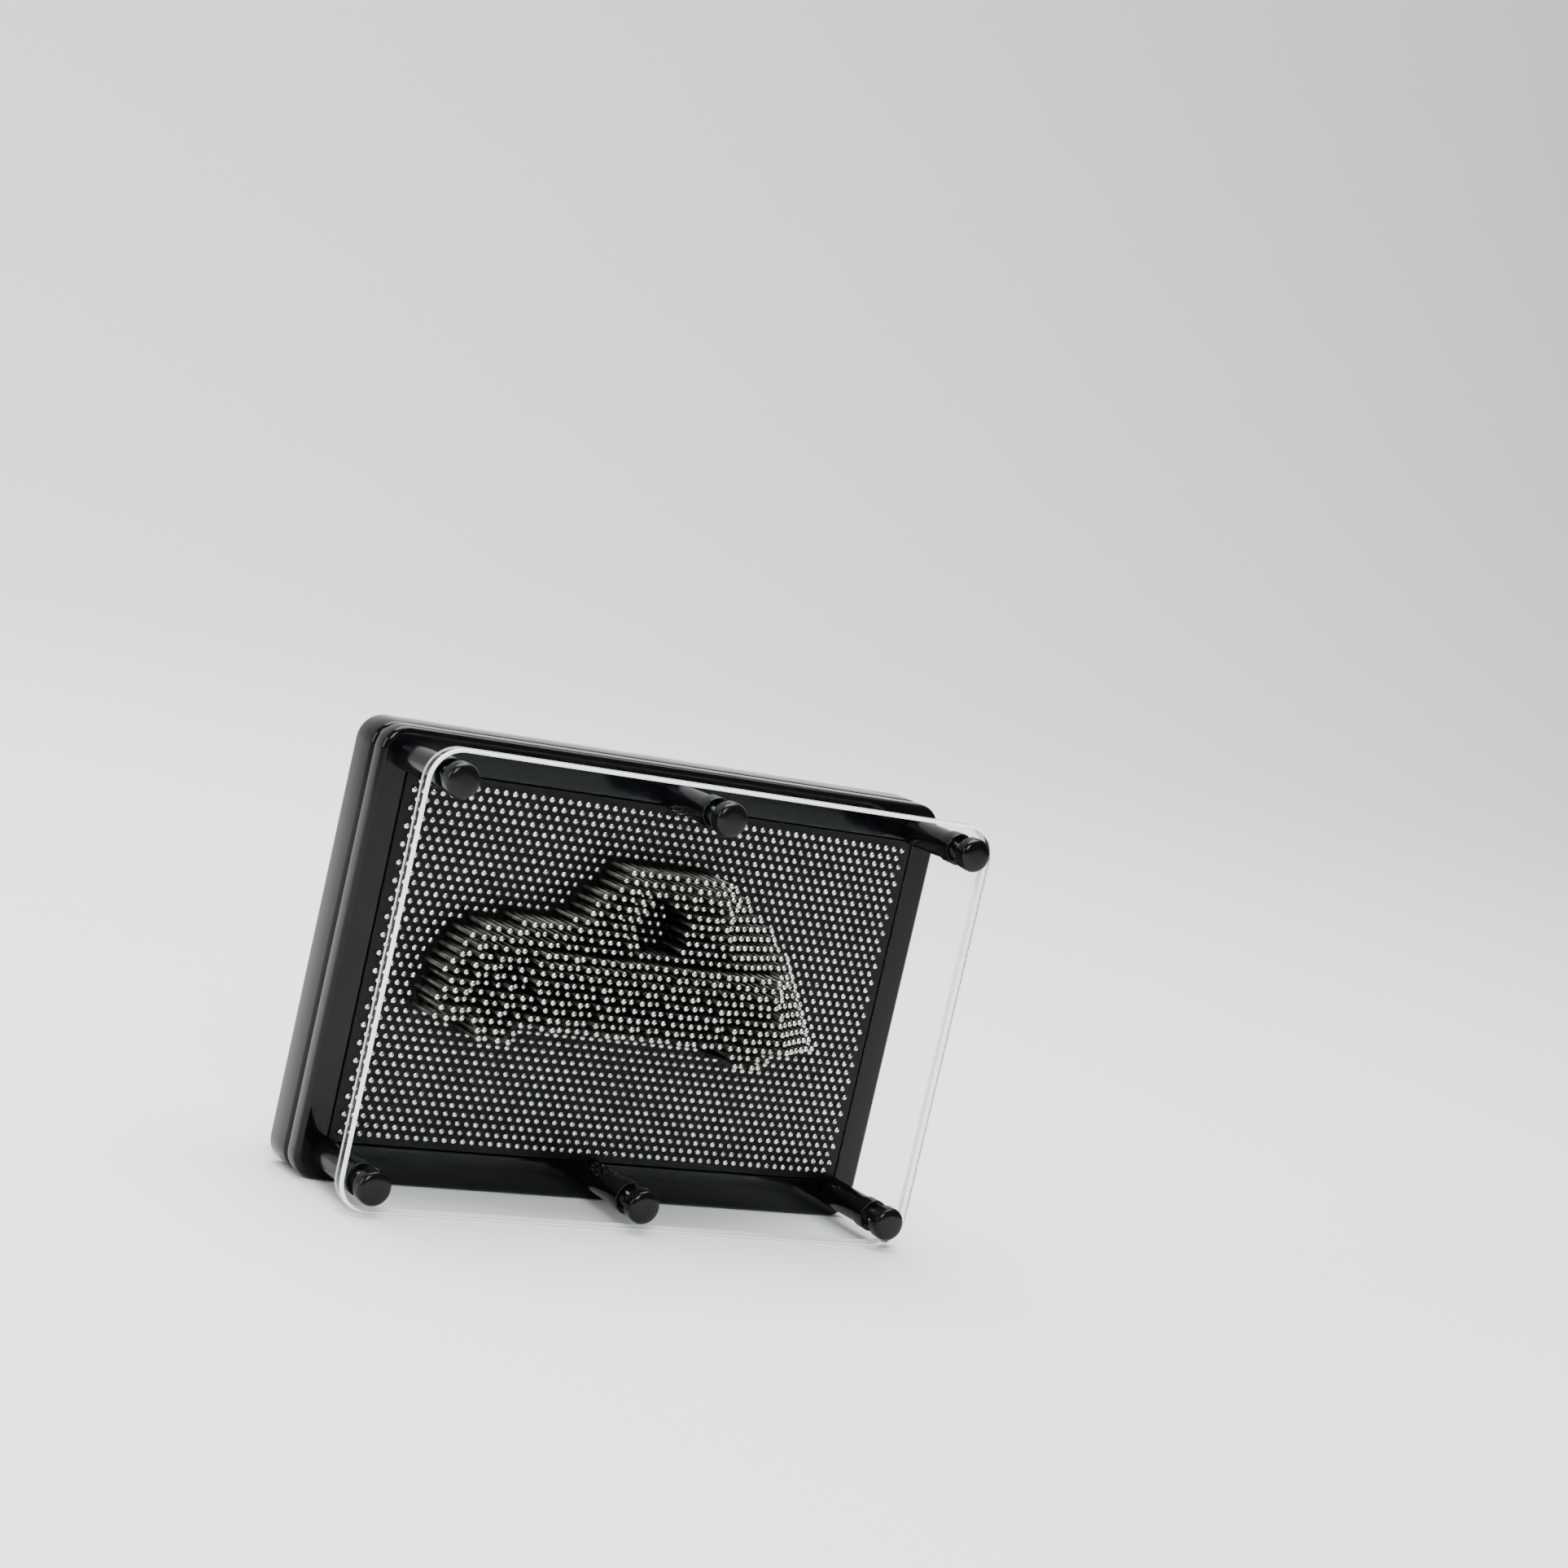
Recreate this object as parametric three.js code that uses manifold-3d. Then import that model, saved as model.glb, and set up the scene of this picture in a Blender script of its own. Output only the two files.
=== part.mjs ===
// Pin art impression toy: a bed of steel pins that slide through two perforated plates in a black
// frame, behind a clear front window held off on six posts. It stands on its long lower edge.
// Millimetres, +Z up, the window faces -Y, origin at the middle of the footprint.
import * as THREE from "three";
import { mergeVertices } from "three/addons/utils/BufferGeometryUtils.js";
import Module from "manifold-3d";

const wasm = await Module();
wasm.setup();

// Driving sizes
const WIDTH = 127;
const HEIGHT = 87;
const FRAME_CORNER = 5;
const WINDOW_CORNER = 6.5;
const FRONT_FRAME = 4.5; // thickness of the front half of the frame
const REAR_FRAME = 8; // thickness of the rear half
const PLATE = 2; // thickness of a perforated plate
const PLATE_SIZE = [115, 71.4];
const PLATE_CORNER = 1.2;
const LEDGE_SIZE = [112.8, 69.6]; // opening left inside the ledge that a plate sits on
const WINDOW_GAP = 16.5; // from the frame's face to the clear window
const WINDOW = 3; // thickness of the clear window
const POST_RADIUS = 3.25;
const POST_BORE = 1.3;
const POST_INSET = [5.9, 5.5]; // post centre from the outline
const CAP_RADIUS = 3.4;
const CAP_HEAD = 3;
const CAP_NECK_RADIUS = 1.8;
const CAP_STUD = 6;
const SCREW_RADIUS = 1.1;
const SCREW_HEAD_RADIUS = 2.3;
const SCREW_HEAD = 1.5;
const SCREW_REACH = 8; // how far a frame screw goes into its post
const CLEARANCE = 0.3; // around screws, necks and plates
const JOIN = 0.05; // gap left between faces that touch
const ROUND = 12; // sides of a round piece

// Pin bed: rows one half pitch out of step, as close as round holes pack
const PITCH = 2;
const COLUMNS = 56;
const ROWS = 40;
const ROW_PITCH = (PITCH * Math.sqrt(3)) / 2;
const PIN_RADIUS = 0.48;
const HOLE_RADIUS = 0.64;
const PIN_LENGTH = 25.2;
const HEAD = 0.6; // thickness of a pin's head
const TRAVEL = WINDOW_GAP - HEAD - 0.4;
const STRIP_COLUMNS = 7;
const STRIPS = COLUMNS / STRIP_COLUMNS;
const STRIP = STRIP_COLUMNS * PITCH;
const GROUP_GAP = 0.4; // between neighbouring groups of heads
const SHANK_COLUMNS = 5; // a group's shanks stand this many columns apart,
const SHANK_ROWS = 4; // and this many rows apart
const BED_HALF = [(COLUMNS * PITCH) / 2, (ROWS * ROW_PITCH) / 2];

// Depth runs from the frame's face towards the window; y() turns it into the part's Y
const CAP_FRONT = WINDOW_GAP + WINDOW + JOIN + CAP_HEAD;
const TAIL = HEAD - PIN_LENGTH;
const MIDDLE = (CAP_FRONT + TAIL) / 2;
const y = (depth) => MIDDLE - depth;
const BED_HEIGHT = HEIGHT / 2; // z of the bed's centre

const colours = {
  frame: { color: 0x0b0b0d, roughness: 0.3, metalness: 0 },
  plate: { color: 0x08080a, roughness: 0.5, metalness: 0 },
  window: { color: 0xdfeef2, roughness: 0.05, metalness: 0, transparent: true, opacity: 0.3 },
  steel: { color: 0xc9c8c2, roughness: 0.25, metalness: 1 },
};

const toy = new THREE.Group();

function add(name, geometry, look) {
  const mesh = new THREE.Mesh(geometry, new THREE.MeshStandardMaterial(colours[look]));
  mesh.name = name;
  toy.add(mesh);
}

// Booleans
function solid(geometry) {
  const g = geometry.clone();
  g.deleteAttribute("normal");
  g.deleteAttribute("uv");
  const merged = mergeVertices(g, 1e-4);
  return new wasm.Manifold(
    new wasm.Mesh({
      numProp: 3,
      vertProperties: merged.attributes.position.array,
      triVerts: new Uint32Array(merged.index.array),
    }),
  );
}

function geometryOf(body) {
  const mesh = body.getMesh();
  return new THREE.BufferGeometry()
    .setAttribute("position", new THREE.BufferAttribute(mesh.vertProperties, 3))
    .setIndex(new THREE.BufferAttribute(mesh.triVerts, 1));
}

const join = (geometries) => geometryOf(geometries.map(solid).reduce((a, b) => a.add(b)));

// Outlines, in x across and z up from the bed's centre
function roundedBox(width, height, radius) {
  const w = width / 2;
  const h = height / 2;
  const s = new THREE.Shape();
  s.moveTo(-w + radius, -h);
  s.lineTo(w - radius, -h);
  s.absarc(w - radius, -h + radius, radius, -Math.PI / 2, 0);
  s.lineTo(w, h - radius);
  s.absarc(w - radius, h - radius, radius, 0, Math.PI / 2);
  s.lineTo(-w + radius, h);
  s.absarc(-w + radius, h - radius, radius, Math.PI / 2, Math.PI);
  s.lineTo(-w, -h + radius);
  s.absarc(-w + radius, -h + radius, radius, Math.PI, 1.5 * Math.PI);
  return s;
}

function polygon(x, z, radius, sides) {
  const points = [];
  for (let i = 0; i < sides; i++) {
    const turn = (2 * Math.PI * i) / sides;
    points.push(new THREE.Vector2(x + radius * Math.cos(turn), z + radius * Math.sin(turn)));
  }
  return points;
}

const hole = (x, z, radius, sides = ROUND) => new THREE.Path(polygon(x, z, radius, sides));

// A flat piece of one outline between two depths
function slab(shape, back, front, holes = []) {
  shape.holes.push(...holes);
  const g = new THREE.ExtrudeGeometry(shape, { depth: front - back, bevelEnabled: false, curveSegments: 6 });
  g.rotateX(Math.PI / 2);
  g.translate(0, y(back), BED_HEIGHT);
  return g;
}

// A round piece on an axis along Y: points are [radius, depth], from the back to the front
function turned(profile, x, z) {
  const points = profile.map(([radius, depth]) => new THREE.Vector2(radius, depth));
  const g = new THREE.LatheGeometry(points, ROUND);
  g.rotateX(Math.PI);
  g.translate(x, MIDDLE, z + BED_HEIGHT);
  return g;
}

// Posts stand in the corners and halfway along the long sides
const postPlaces = [];
for (const side of [-1, 1]) {
  for (const along of [-1, 0, 1]) {
    postPlaces.push([along * (WIDTH / 2 - POST_INSET[0]), side * (HEIGHT / 2 - POST_INSET[1])]);
  }
}
const postHoles = (radius) => postPlaces.map(([x, z]) => hole(x, z, radius));

// Frame halves, each with a pocket for its plate and a ledge behind or in front of it
const outline = () => roundedBox(WIDTH, HEIGHT, FRAME_CORNER);
const ledge = () => roundedBox(...LEDGE_SIZE, PLATE_CORNER);
const pocket = () => roundedBox(...PLATE_SIZE.map((size) => size + 2 * CLEARANCE), PLATE_CORNER);
const POCKET_FLOOR = -PLATE - 2 * JOIN;
const screwWay = () => postHoles(SCREW_RADIUS + CLEARANCE);

add(
  "front_frame",
  join([
    slab(outline(), -FRONT_FRAME, POCKET_FLOOR, [ledge(), ...screwWay()]),
    slab(outline(), POCKET_FLOOR, 0, [pocket(), ...screwWay()]),
  ]),
  "frame",
);

const REAR_TOP = -FRONT_FRAME - JOIN;
const REAR_POCKET = REAR_TOP - PLATE - 2 * JOIN;
const REAR_BACK = REAR_TOP - REAR_FRAME;
const SCREW_SEAT = REAR_BACK + SCREW_HEAD + CLEARANCE;
add(
  "rear_frame",
  join([
    slab(outline(), REAR_BACK, SCREW_SEAT, [ledge(), ...postHoles(SCREW_HEAD_RADIUS + CLEARANCE)]),
    slab(outline(), SCREW_SEAT, REAR_POCKET, [ledge(), ...screwWay()]),
    slab(outline(), REAR_POCKET, REAR_TOP, [pocket(), ...screwWay()]),
  ]),
  "frame",
);

// Clear window, posts, their caps and the frame screws
add(
  "clear_window",
  slab(
    roundedBox(WIDTH, HEIGHT, WINDOW_CORNER),
    WINDOW_GAP,
    WINDOW_GAP + WINDOW,
    postHoles(CAP_NECK_RADIUS + CLEARANCE),
  ),
  "window",
);

postPlaces.forEach(([x, z], i) => {
  const n = i + 1;
  add(
    `spacer_post_${n}`,
    turned(
      [
        [POST_BORE, JOIN],
        [POST_RADIUS, JOIN],
        [POST_RADIUS, WINDOW_GAP - JOIN],
        [POST_BORE, WINDOW_GAP - JOIN],
        [POST_BORE, JOIN],
      ],
      x,
      z,
    ),
    "frame",
  );
  const neck = WINDOW_GAP + JOIN;
  const head = WINDOW_GAP + WINDOW + JOIN;
  add(
    `window_cap_${n}`,
    turned(
      [
        [0, neck - CAP_STUD],
        [SCREW_RADIUS, neck - CAP_STUD],
        [SCREW_RADIUS, neck],
        [CAP_NECK_RADIUS, neck],
        [CAP_NECK_RADIUS, head],
        [CAP_RADIUS, head],
        [CAP_RADIUS, CAP_FRONT - 0.6],
        [CAP_RADIUS - 0.6, CAP_FRONT],
        [0, CAP_FRONT],
      ],
      x,
      z,
    ),
    "frame",
  );
  const under = SCREW_SEAT - JOIN;
  add(
    `frame_screw_${n}`,
    turned(
      [
        [0, under - SCREW_HEAD],
        [SCREW_HEAD_RADIUS, under - SCREW_HEAD],
        [SCREW_HEAD_RADIUS, under],
        [SCREW_RADIUS, under],
        [SCREW_RADIUS, SCREW_REACH],
        [0, SCREW_REACH],
      ],
      x,
      z,
    ),
    "steel",
  );
});

// The little car that the bed holds an impression of, in x and z from the bed's centre
const NOSE = -47;
const TAILBOARD = 42;
const BELT = 7.5; // pins above this line belong to the cabin
const SILL = -8.5;
const carTop = [
  [NOSE, -3],
  [-44, 6],
  [-38, 10.5],
  [-21, 12.5],
  [-11, 23.5],
  [8, 24.5],
  [16, 22.5],
  [28, 14],
  [37, 3],
  [TAILBOARD, -6],
];
const wheels = [
  [-33, -6.5],
  [22, -7],
];
const WHEEL = 6;
const PORTHOLE = [-2, 13.2];
const PORTHOLE_RADIUS = 5.4;
const END_SPLIT = -5; // where the plain ends of the bed part into an upper and a lower group

function topAt(x) {
  if (x <= NOSE || x >= TAILBOARD) return END_SPLIT;
  const i = carTop.findIndex(([px]) => px >= x);
  const [x0, z0] = carTop[i - 1];
  const [x1, z1] = carTop[i];
  return z0 + ((z1 - z0) * (x - x0)) / (x1 - x0);
}

function bottomAt(x) {
  if (x <= NOSE || x >= TAILBOARD) return END_SPLIT;
  const low = wheels.map(([cx, cz]) => {
    const across = WHEEL * WHEEL - (x - cx) * (x - cx);
    return across > 0 ? cz - Math.sqrt(across) : SILL;
  });
  return Math.min(SILL, ...low);
}

const pinX = (column, row) => (column - (COLUMNS - 1) / 2 + (row % 2 ? -0.25 : 0.25)) * PITCH;
const pinZ = (row) => ((ROWS - 1) / 2 - row) * ROW_PITCH;

// Points that lie on a straight run between their neighbours are left out
function cornersOf(points) {
  return points.filter((b, i) => {
    const a = points[(i + points.length - 1) % points.length];
    const c = points[(i + 1) % points.length];
    return Math.abs((b.x - a.x) * (c.y - b.y) - (b.y - a.y) * (c.x - b.x)) > 1e-3;
  });
}

// A group's heads are one plate of the group's outline, from low(x) to high(x) between two x
const STEPS = 8;
function outlineBetween(x0, x1, low, high) {
  const left = x0 + GROUP_GAP / 2;
  const right = x1 - GROUP_GAP / 2;
  const points = [];
  for (let i = 0; i <= STEPS; i++) {
    const x = left + ((right - left) * i) / STEPS;
    points.push(new THREE.Vector2(x, low(x) + GROUP_GAP));
  }
  for (let i = STEPS; i >= 0; i--) {
    const x = left + ((right - left) * i) / STEPS;
    points.push(new THREE.Vector2(x, high(x) - GROUP_GAP));
  }
  return cornersOf(points);
}

function inside(points, x, z) {
  let odd = false;
  points.forEach((a, i) => {
    const b = points[(i + 1) % points.length];
    if (a.y > z !== b.y > z && x < a.x + ((b.x - a.x) * (z - a.y)) / (b.y - a.y)) odd = !odd;
  });
  return odd;
}

const clearOf = (points, x, z) =>
  polygon(x, z, PIN_RADIUS + 2 * GROUP_GAP, 8).every((p) => inside(points, p.x, p.y));

// Shanks stand on a coarser grid of the bed's own places, counted from the place nearest the group's middle
function shankPlaces(points, avoid) {
  const middle = points.reduce((a, p) => a.add(p), new THREE.Vector2()).divideScalar(points.length);
  const all = [];
  for (let row = 0; row < ROWS; row++) {
    for (let column = 0; column < COLUMNS; column++) {
      const x = pinX(column, row);
      const z = pinZ(row);
      if (clearOf(points, x, z) && !avoid(x, z)) all.push({ row, column, x, z });
    }
  }
  const reach = (p) => Math.hypot(p.x - middle.x, p.z - middle.y);
  const first = all.reduce((a, b) => (reach(a) <= reach(b) ? a : b));
  return all.filter(
    (p) => (p.column - first.column) % SHANK_COLUMNS === 0 && (p.row - first.row) % SHANK_ROWS === 0,
  );
}

const shanks = [];
function pinGroup(name, points, rise, cut = null) {
  const nearCut = (x, z) => cut !== null && Math.hypot(x - cut.x, z - cut.z) < cut.radius + 2;
  const parts = [slab(new THREE.Shape(points), rise + JOIN, rise + HEAD)];
  for (const { x, z } of shankPlaces(points, nearCut)) {
    const shank = new THREE.Shape(polygon(x, z, PIN_RADIUS, 6));
    parts.push(slab(shank, rise + HEAD - PIN_LENGTH, rise + HEAD / 2));
    shanks.push([x, z]);
  }
  let body = parts.map(solid).reduce((whole, part) => whole.add(part));
  if (cut) {
    const circle = new THREE.Shape(polygon(cut.x, cut.z, cut.radius, ROUND));
    body = body.subtract(solid(slab(circle, rise, rise + 2 * HEAD)));
  }
  add(name, geometryOf(body), "steel");
}

const bedLeft = (strip) => -BED_HALF[0] + (strip - 1) * STRIP;
const constant = (value) => () => value;
for (let strip = 1; strip <= STRIPS; strip++) {
  const x0 = bedLeft(strip);
  const x1 = x0 + STRIP;
  pinGroup(`pins_above_${strip}`, outlineBetween(x0, x1, topAt, constant(BED_HALF[1])), 0);
  pinGroup(`pins_below_${strip}`, outlineBetween(x0, x1, constant(-BED_HALF[1]), bottomAt), 0);
}

// Raised groups: the car's body in six strips, its cabin in four, and the porthole
const bodyRise = [10.6, 11.8, 12.2, 12.4, 12.2, 11.2];
const BODY_FIRST = 2;
bodyRise.forEach((rise, i) => {
  const x0 = i === 0 ? NOSE + 2.4 : bedLeft(BODY_FIRST + i);
  const x1 = i === bodyRise.length - 1 ? TAILBOARD - 3 : bedLeft(BODY_FIRST + i) + STRIP;
  const high = (x) => Math.min(topAt(x), BELT);
  pinGroup(`pins_body_${i + 1}`, outlineBetween(x0, x1, bottomAt, high), rise);
});

const cabinRise = [9.6, 9.8, 9.8, 9.4];
const CABIN_FIRST = 3;
const porthole = { x: PORTHOLE[0], z: PORTHOLE[1], radius: PORTHOLE_RADIUS + GROUP_GAP };
cabinRise.forEach((rise, i) => {
  const x0 = bedLeft(CABIN_FIRST + i);
  const beside = Math.abs(x0 + STRIP / 2 - porthole.x) < STRIP / 2 + porthole.radius;
  const points = outlineBetween(x0, x0 + STRIP, constant(BELT), topAt);
  pinGroup(`pins_cabin_${i + 1}`, points, rise, beside ? porthole : null);
});

const PORTHOLE_RISE = 2.4;
pinGroup("pins_porthole", polygon(...PORTHOLE, PORTHOLE_RADIUS, ROUND), PORTHOLE_RISE);

// Perforated plates, with a hole for each shank
const pinHoles = () => shanks.map(([x, z]) => hole(x, z, HOLE_RADIUS, 6));
const plateShape = () => roundedBox(PLATE_SIZE[0], PLATE_SIZE[1], PLATE_CORNER);
add("front_pin_plate", slab(plateShape(), -PLATE - JOIN, -JOIN, pinHoles()), "plate");
add("rear_pin_plate", slab(plateShape(), REAR_TOP - PLATE - JOIN, REAR_TOP - JOIN, pinHoles()), "plate");

export default toy;
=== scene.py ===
"""Pin art impression toy: a bed of nickel-plated steel pins in a black plastic frame, behind a clear
acrylic window on six turned posts. Metres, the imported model's frame, the window faces -Y."""
import math
import random

import bmesh
import bpy
from mathutils import Matrix, Vector


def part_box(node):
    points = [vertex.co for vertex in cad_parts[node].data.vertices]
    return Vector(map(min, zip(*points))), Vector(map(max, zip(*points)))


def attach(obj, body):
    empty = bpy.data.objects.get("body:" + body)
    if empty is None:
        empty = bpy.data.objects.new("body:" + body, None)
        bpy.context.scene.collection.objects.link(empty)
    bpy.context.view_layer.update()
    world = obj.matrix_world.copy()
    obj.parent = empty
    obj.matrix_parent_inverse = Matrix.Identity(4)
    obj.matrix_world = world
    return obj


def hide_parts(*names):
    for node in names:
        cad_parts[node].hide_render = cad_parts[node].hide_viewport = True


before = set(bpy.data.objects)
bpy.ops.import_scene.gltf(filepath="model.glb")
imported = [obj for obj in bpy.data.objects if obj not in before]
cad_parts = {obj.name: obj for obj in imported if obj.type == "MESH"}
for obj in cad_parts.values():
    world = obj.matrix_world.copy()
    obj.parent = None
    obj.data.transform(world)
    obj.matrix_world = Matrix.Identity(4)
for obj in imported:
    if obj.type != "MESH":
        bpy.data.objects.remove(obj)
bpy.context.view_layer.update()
MM = 0.001

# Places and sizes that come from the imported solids
FRONT_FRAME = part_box("front_frame")
REAR_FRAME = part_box("rear_frame")
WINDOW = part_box("clear_window")
FRONT_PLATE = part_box("front_pin_plate")
REAR_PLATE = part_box("rear_pin_plate")
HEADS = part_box("pins_above_1")
WIDTH = FRONT_FRAME[1].x - FRONT_FRAME[0].x
HEIGHT = FRONT_FRAME[1].z - FRONT_FRAME[0].z
CENTRE = HEIGHT / 2  # z of the bed's centre
POSTS = range(1, 7)

# Sizes of the pieces
FRAME_CORNER = 5 * MM
FRAME_EDGE = 1.1 * MM  # radius on the frame's long edges
OPENING_EDGE = 0.25 * MM
PLATE_CORNER = 1.2 * MM
PLATE_FIT = 0.3 * MM  # gap round a plate in its pocket
LEDGE = Vector((112.8 * MM, 69.6 * MM))
SCREW_HOLE = 1.4 * MM
SCREW_SEAT = 2.6 * MM
SCREW_SEAT_DEPTH = 1.8 * MM
WINDOW_CORNER = 6.5 * MM
WINDOW_EDGE = 0.6 * MM
WINDOW_HOLE = 2.1 * MM
POST_BORE = 1.3 * MM
POST_EDGE = 0.3 * MM
POST_COLLAR = 3.2 * MM  # length of the wider part under the window
POST_STEP = 0.35 * MM  # how far the collar stands out from the rest of the post
CAP_DOME = 1.1 * MM
CAP_NECK = 1.8 * MM
STUD_RADIUS = 1.1 * MM  # of a cap's stud and of a screw's shank
STUD_TIP = 0.3 * MM
ON_AXIS = 0.02 * MM  # a turned piece's end faces stop this far short of its axis
SCREW_HEAD = 1.5 * MM
SCREW_RIM = 0.6 * MM  # the straight part of a screw head's side
CROSS_ARM = 1.1  # half length and half width of a cross recess's arm, and its depth, in millimetres
CROSS_WIDE = 0.24
CROSS_DEEP = 1.6
CROSS_TAPER = 0.55  # how much narrower the recess is at its bottom

# The pin bed
PITCH = 2 * MM
COLUMNS = 56
ROWS = 40
ROW_PITCH = PITCH * math.sqrt(3) / 2
HEAD_RADIUS = 0.64 * MM
HEAD_THICK = 0.55 * MM
PIN_RADIUS = 0.45 * MM
PIN_LENGTH = HEADS[1].y - HEADS[0].y
PIN_HOLE = 0.62 * MM
PLATE_DEPTH = FRONT_PLATE[1].y - FRONT_PLATE[0].y
STRIP = 7 * PITCH


# Meshes
def rounded_outline(width, height, radius, y, arc=8):
    """Points round a rounded rectangle in a plane of constant y, anticlockwise seen from the window."""
    radius = max(radius, 0.05 * MM)
    points = []
    for corner in range(4):
        cx = (width / 2 - radius) * (1, -1, -1, 1)[corner]
        cz = (height / 2 - radius) * (1, 1, -1, -1)[corner]
        for step in range(arc + 1):
            turn = math.pi / 2 * (corner + step / arc)
            points.append(Vector((cx + radius * math.cos(turn), y, CENTRE + cz + radius * math.sin(turn))))
    return points


def quarter(inset, depth, radius, towards, steps=4):
    """(inset, depth) pairs of a rounded edge that runs from a flat face at depth to a side at inset."""
    return [
        (
            inset + radius * (1 - math.sin(math.pi / 2 * i / steps)),
            depth + towards * radius * (1 - math.cos(math.pi / 2 * i / steps)),
        )
        for i in range(steps + 1)
    ]


def skin(loops, closed):
    """A bmesh over loops of equal length: a ring if closed, and otherwise a body with its ends filled."""
    bm = bmesh.new()
    rows = [[bm.verts.new(p) for p in loop] for loop in loops]
    pairs = list(zip(rows, rows[1:] + rows[:1])) if closed else list(zip(rows, rows[1:]))
    for a, b in pairs:
        for i in range(len(a)):
            j = (i + 1) % len(a)
            bm.faces.new((a[i], a[j], b[j], b[i]))
    if not closed:
        bm.faces.new(rows[0][::-1])
        bm.faces.new(rows[-1])
    return bm


def piece(name, bm, materials, body, nodes, crease=32):
    """Turns a bmesh into a finished piece that rides on a body and stands for CAD nodes."""
    bmesh.ops.recalc_face_normals(bm, faces=bm.faces)
    for edge in bm.edges:
        flat = len(edge.link_faces) == 2 and edge.calc_face_angle(0) < math.radians(crease)
        edge.smooth = flat
    for face in bm.faces:
        face.smooth = True
    mesh = bpy.data.meshes.new(name)
    bm.to_mesh(mesh)
    bm.free()
    return place(name, mesh, materials, body, nodes)


def place(name, mesh, materials, body, nodes):
    thing = bpy.data.objects.new(name, mesh)
    bpy.context.scene.collection.objects.link(thing)
    for material in materials:
        mesh.materials.append(material)
    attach(thing, body)
    if nodes:
        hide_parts(*nodes)
    return thing


def rod(x, z, radius, y0, y1, sides=32):
    """Loops of a plain cylinder along Y, for cutting holes."""
    return [
        [
            Vector((x + radius * math.cos(2 * math.pi * i / sides), y, z + radius * math.sin(2 * math.pi * i / sides)))
            for i in range(sides)
        ]
        for y in (y0, y1)
    ]


def drilled(bm, cutters):
    """The bmesh less every cutter, which are closed bmeshes that don't touch each other."""
    scene = bpy.context.scene.collection
    work = []
    for name, source in [("stock", bm)] + [(f"cutter_{i}", c) for i, c in enumerate(cutters)]:
        bmesh.ops.recalc_face_normals(source, faces=source.faces)
        mesh = bpy.data.meshes.new(name)
        source.to_mesh(mesh)
        source.free()
        thing = bpy.data.objects.new(name, mesh)
        scene.objects.link(thing)
        work.append(thing)
    stock = work[0]
    for cutter in work[1:]:
        cut = stock.modifiers.new("cut", "BOOLEAN")
        cut.operation = "DIFFERENCE"
        cut.solver = "EXACT"
        cut.object = cutter
    bpy.context.view_layer.update()
    ready = stock.evaluated_get(bpy.context.evaluated_depsgraph_get())
    mesh = bpy.data.meshes.new_from_object(ready)
    result = bmesh.new()
    result.from_mesh(mesh)
    bmesh.ops.remove_doubles(result, verts=result.verts, dist=1e-7)
    bpy.data.meshes.remove(mesh)
    for thing in work:
        old = thing.data
        bpy.data.objects.remove(thing)
        bpy.data.meshes.remove(old)
    return result


def turned(profile, x, z, sides=32, closed=False):
    """A bmesh of a piece turned about an axis along Y, from (radius, y) pairs. A tube's profile is closed."""
    loops = []
    for radius, y in profile:
        loop = []
        for i in range(sides):
            turn = 2 * math.pi * i / sides
            loop.append(Vector((x + radius * math.cos(turn), y, z + radius * math.sin(turn))))
        loops.append(loop)
    return skin(loops, closed)


def middle(node):
    """x and z of a node's axis."""
    low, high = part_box(node)
    return (low.x + high.x) / 2, (low.z + high.z) / 2


# Materials
def linear(colour):
    """A colour written as sRGB hex, such as "c8c4bb", as linear numbers."""
    parts = [int(colour[i : i + 2], 16) / 255 for i in (0, 2, 4)]
    return [p / 12.92 if p <= 0.04045 else ((p + 0.055) / 1.055) ** 2.4 for p in parts] + [1]


def add(tree, kind, values=None, links=None, **settings):
    """Adds a node with its settings, its sockets' values, and links from other nodes' outputs."""
    node = tree.nodes.new(kind)
    for key, value in settings.items():
        setattr(node, key, value)
    for key, value in (values or {}).items():
        node.inputs[key].default_value = value
    for key, source in (links or {}).items():
        tree.links.new(source, node.inputs[key])
    return node


def blank(name):
    material = bpy.data.materials.new(name)
    material.use_nodes = True
    material.node_tree.nodes.clear()
    return material, material.node_tree


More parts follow.
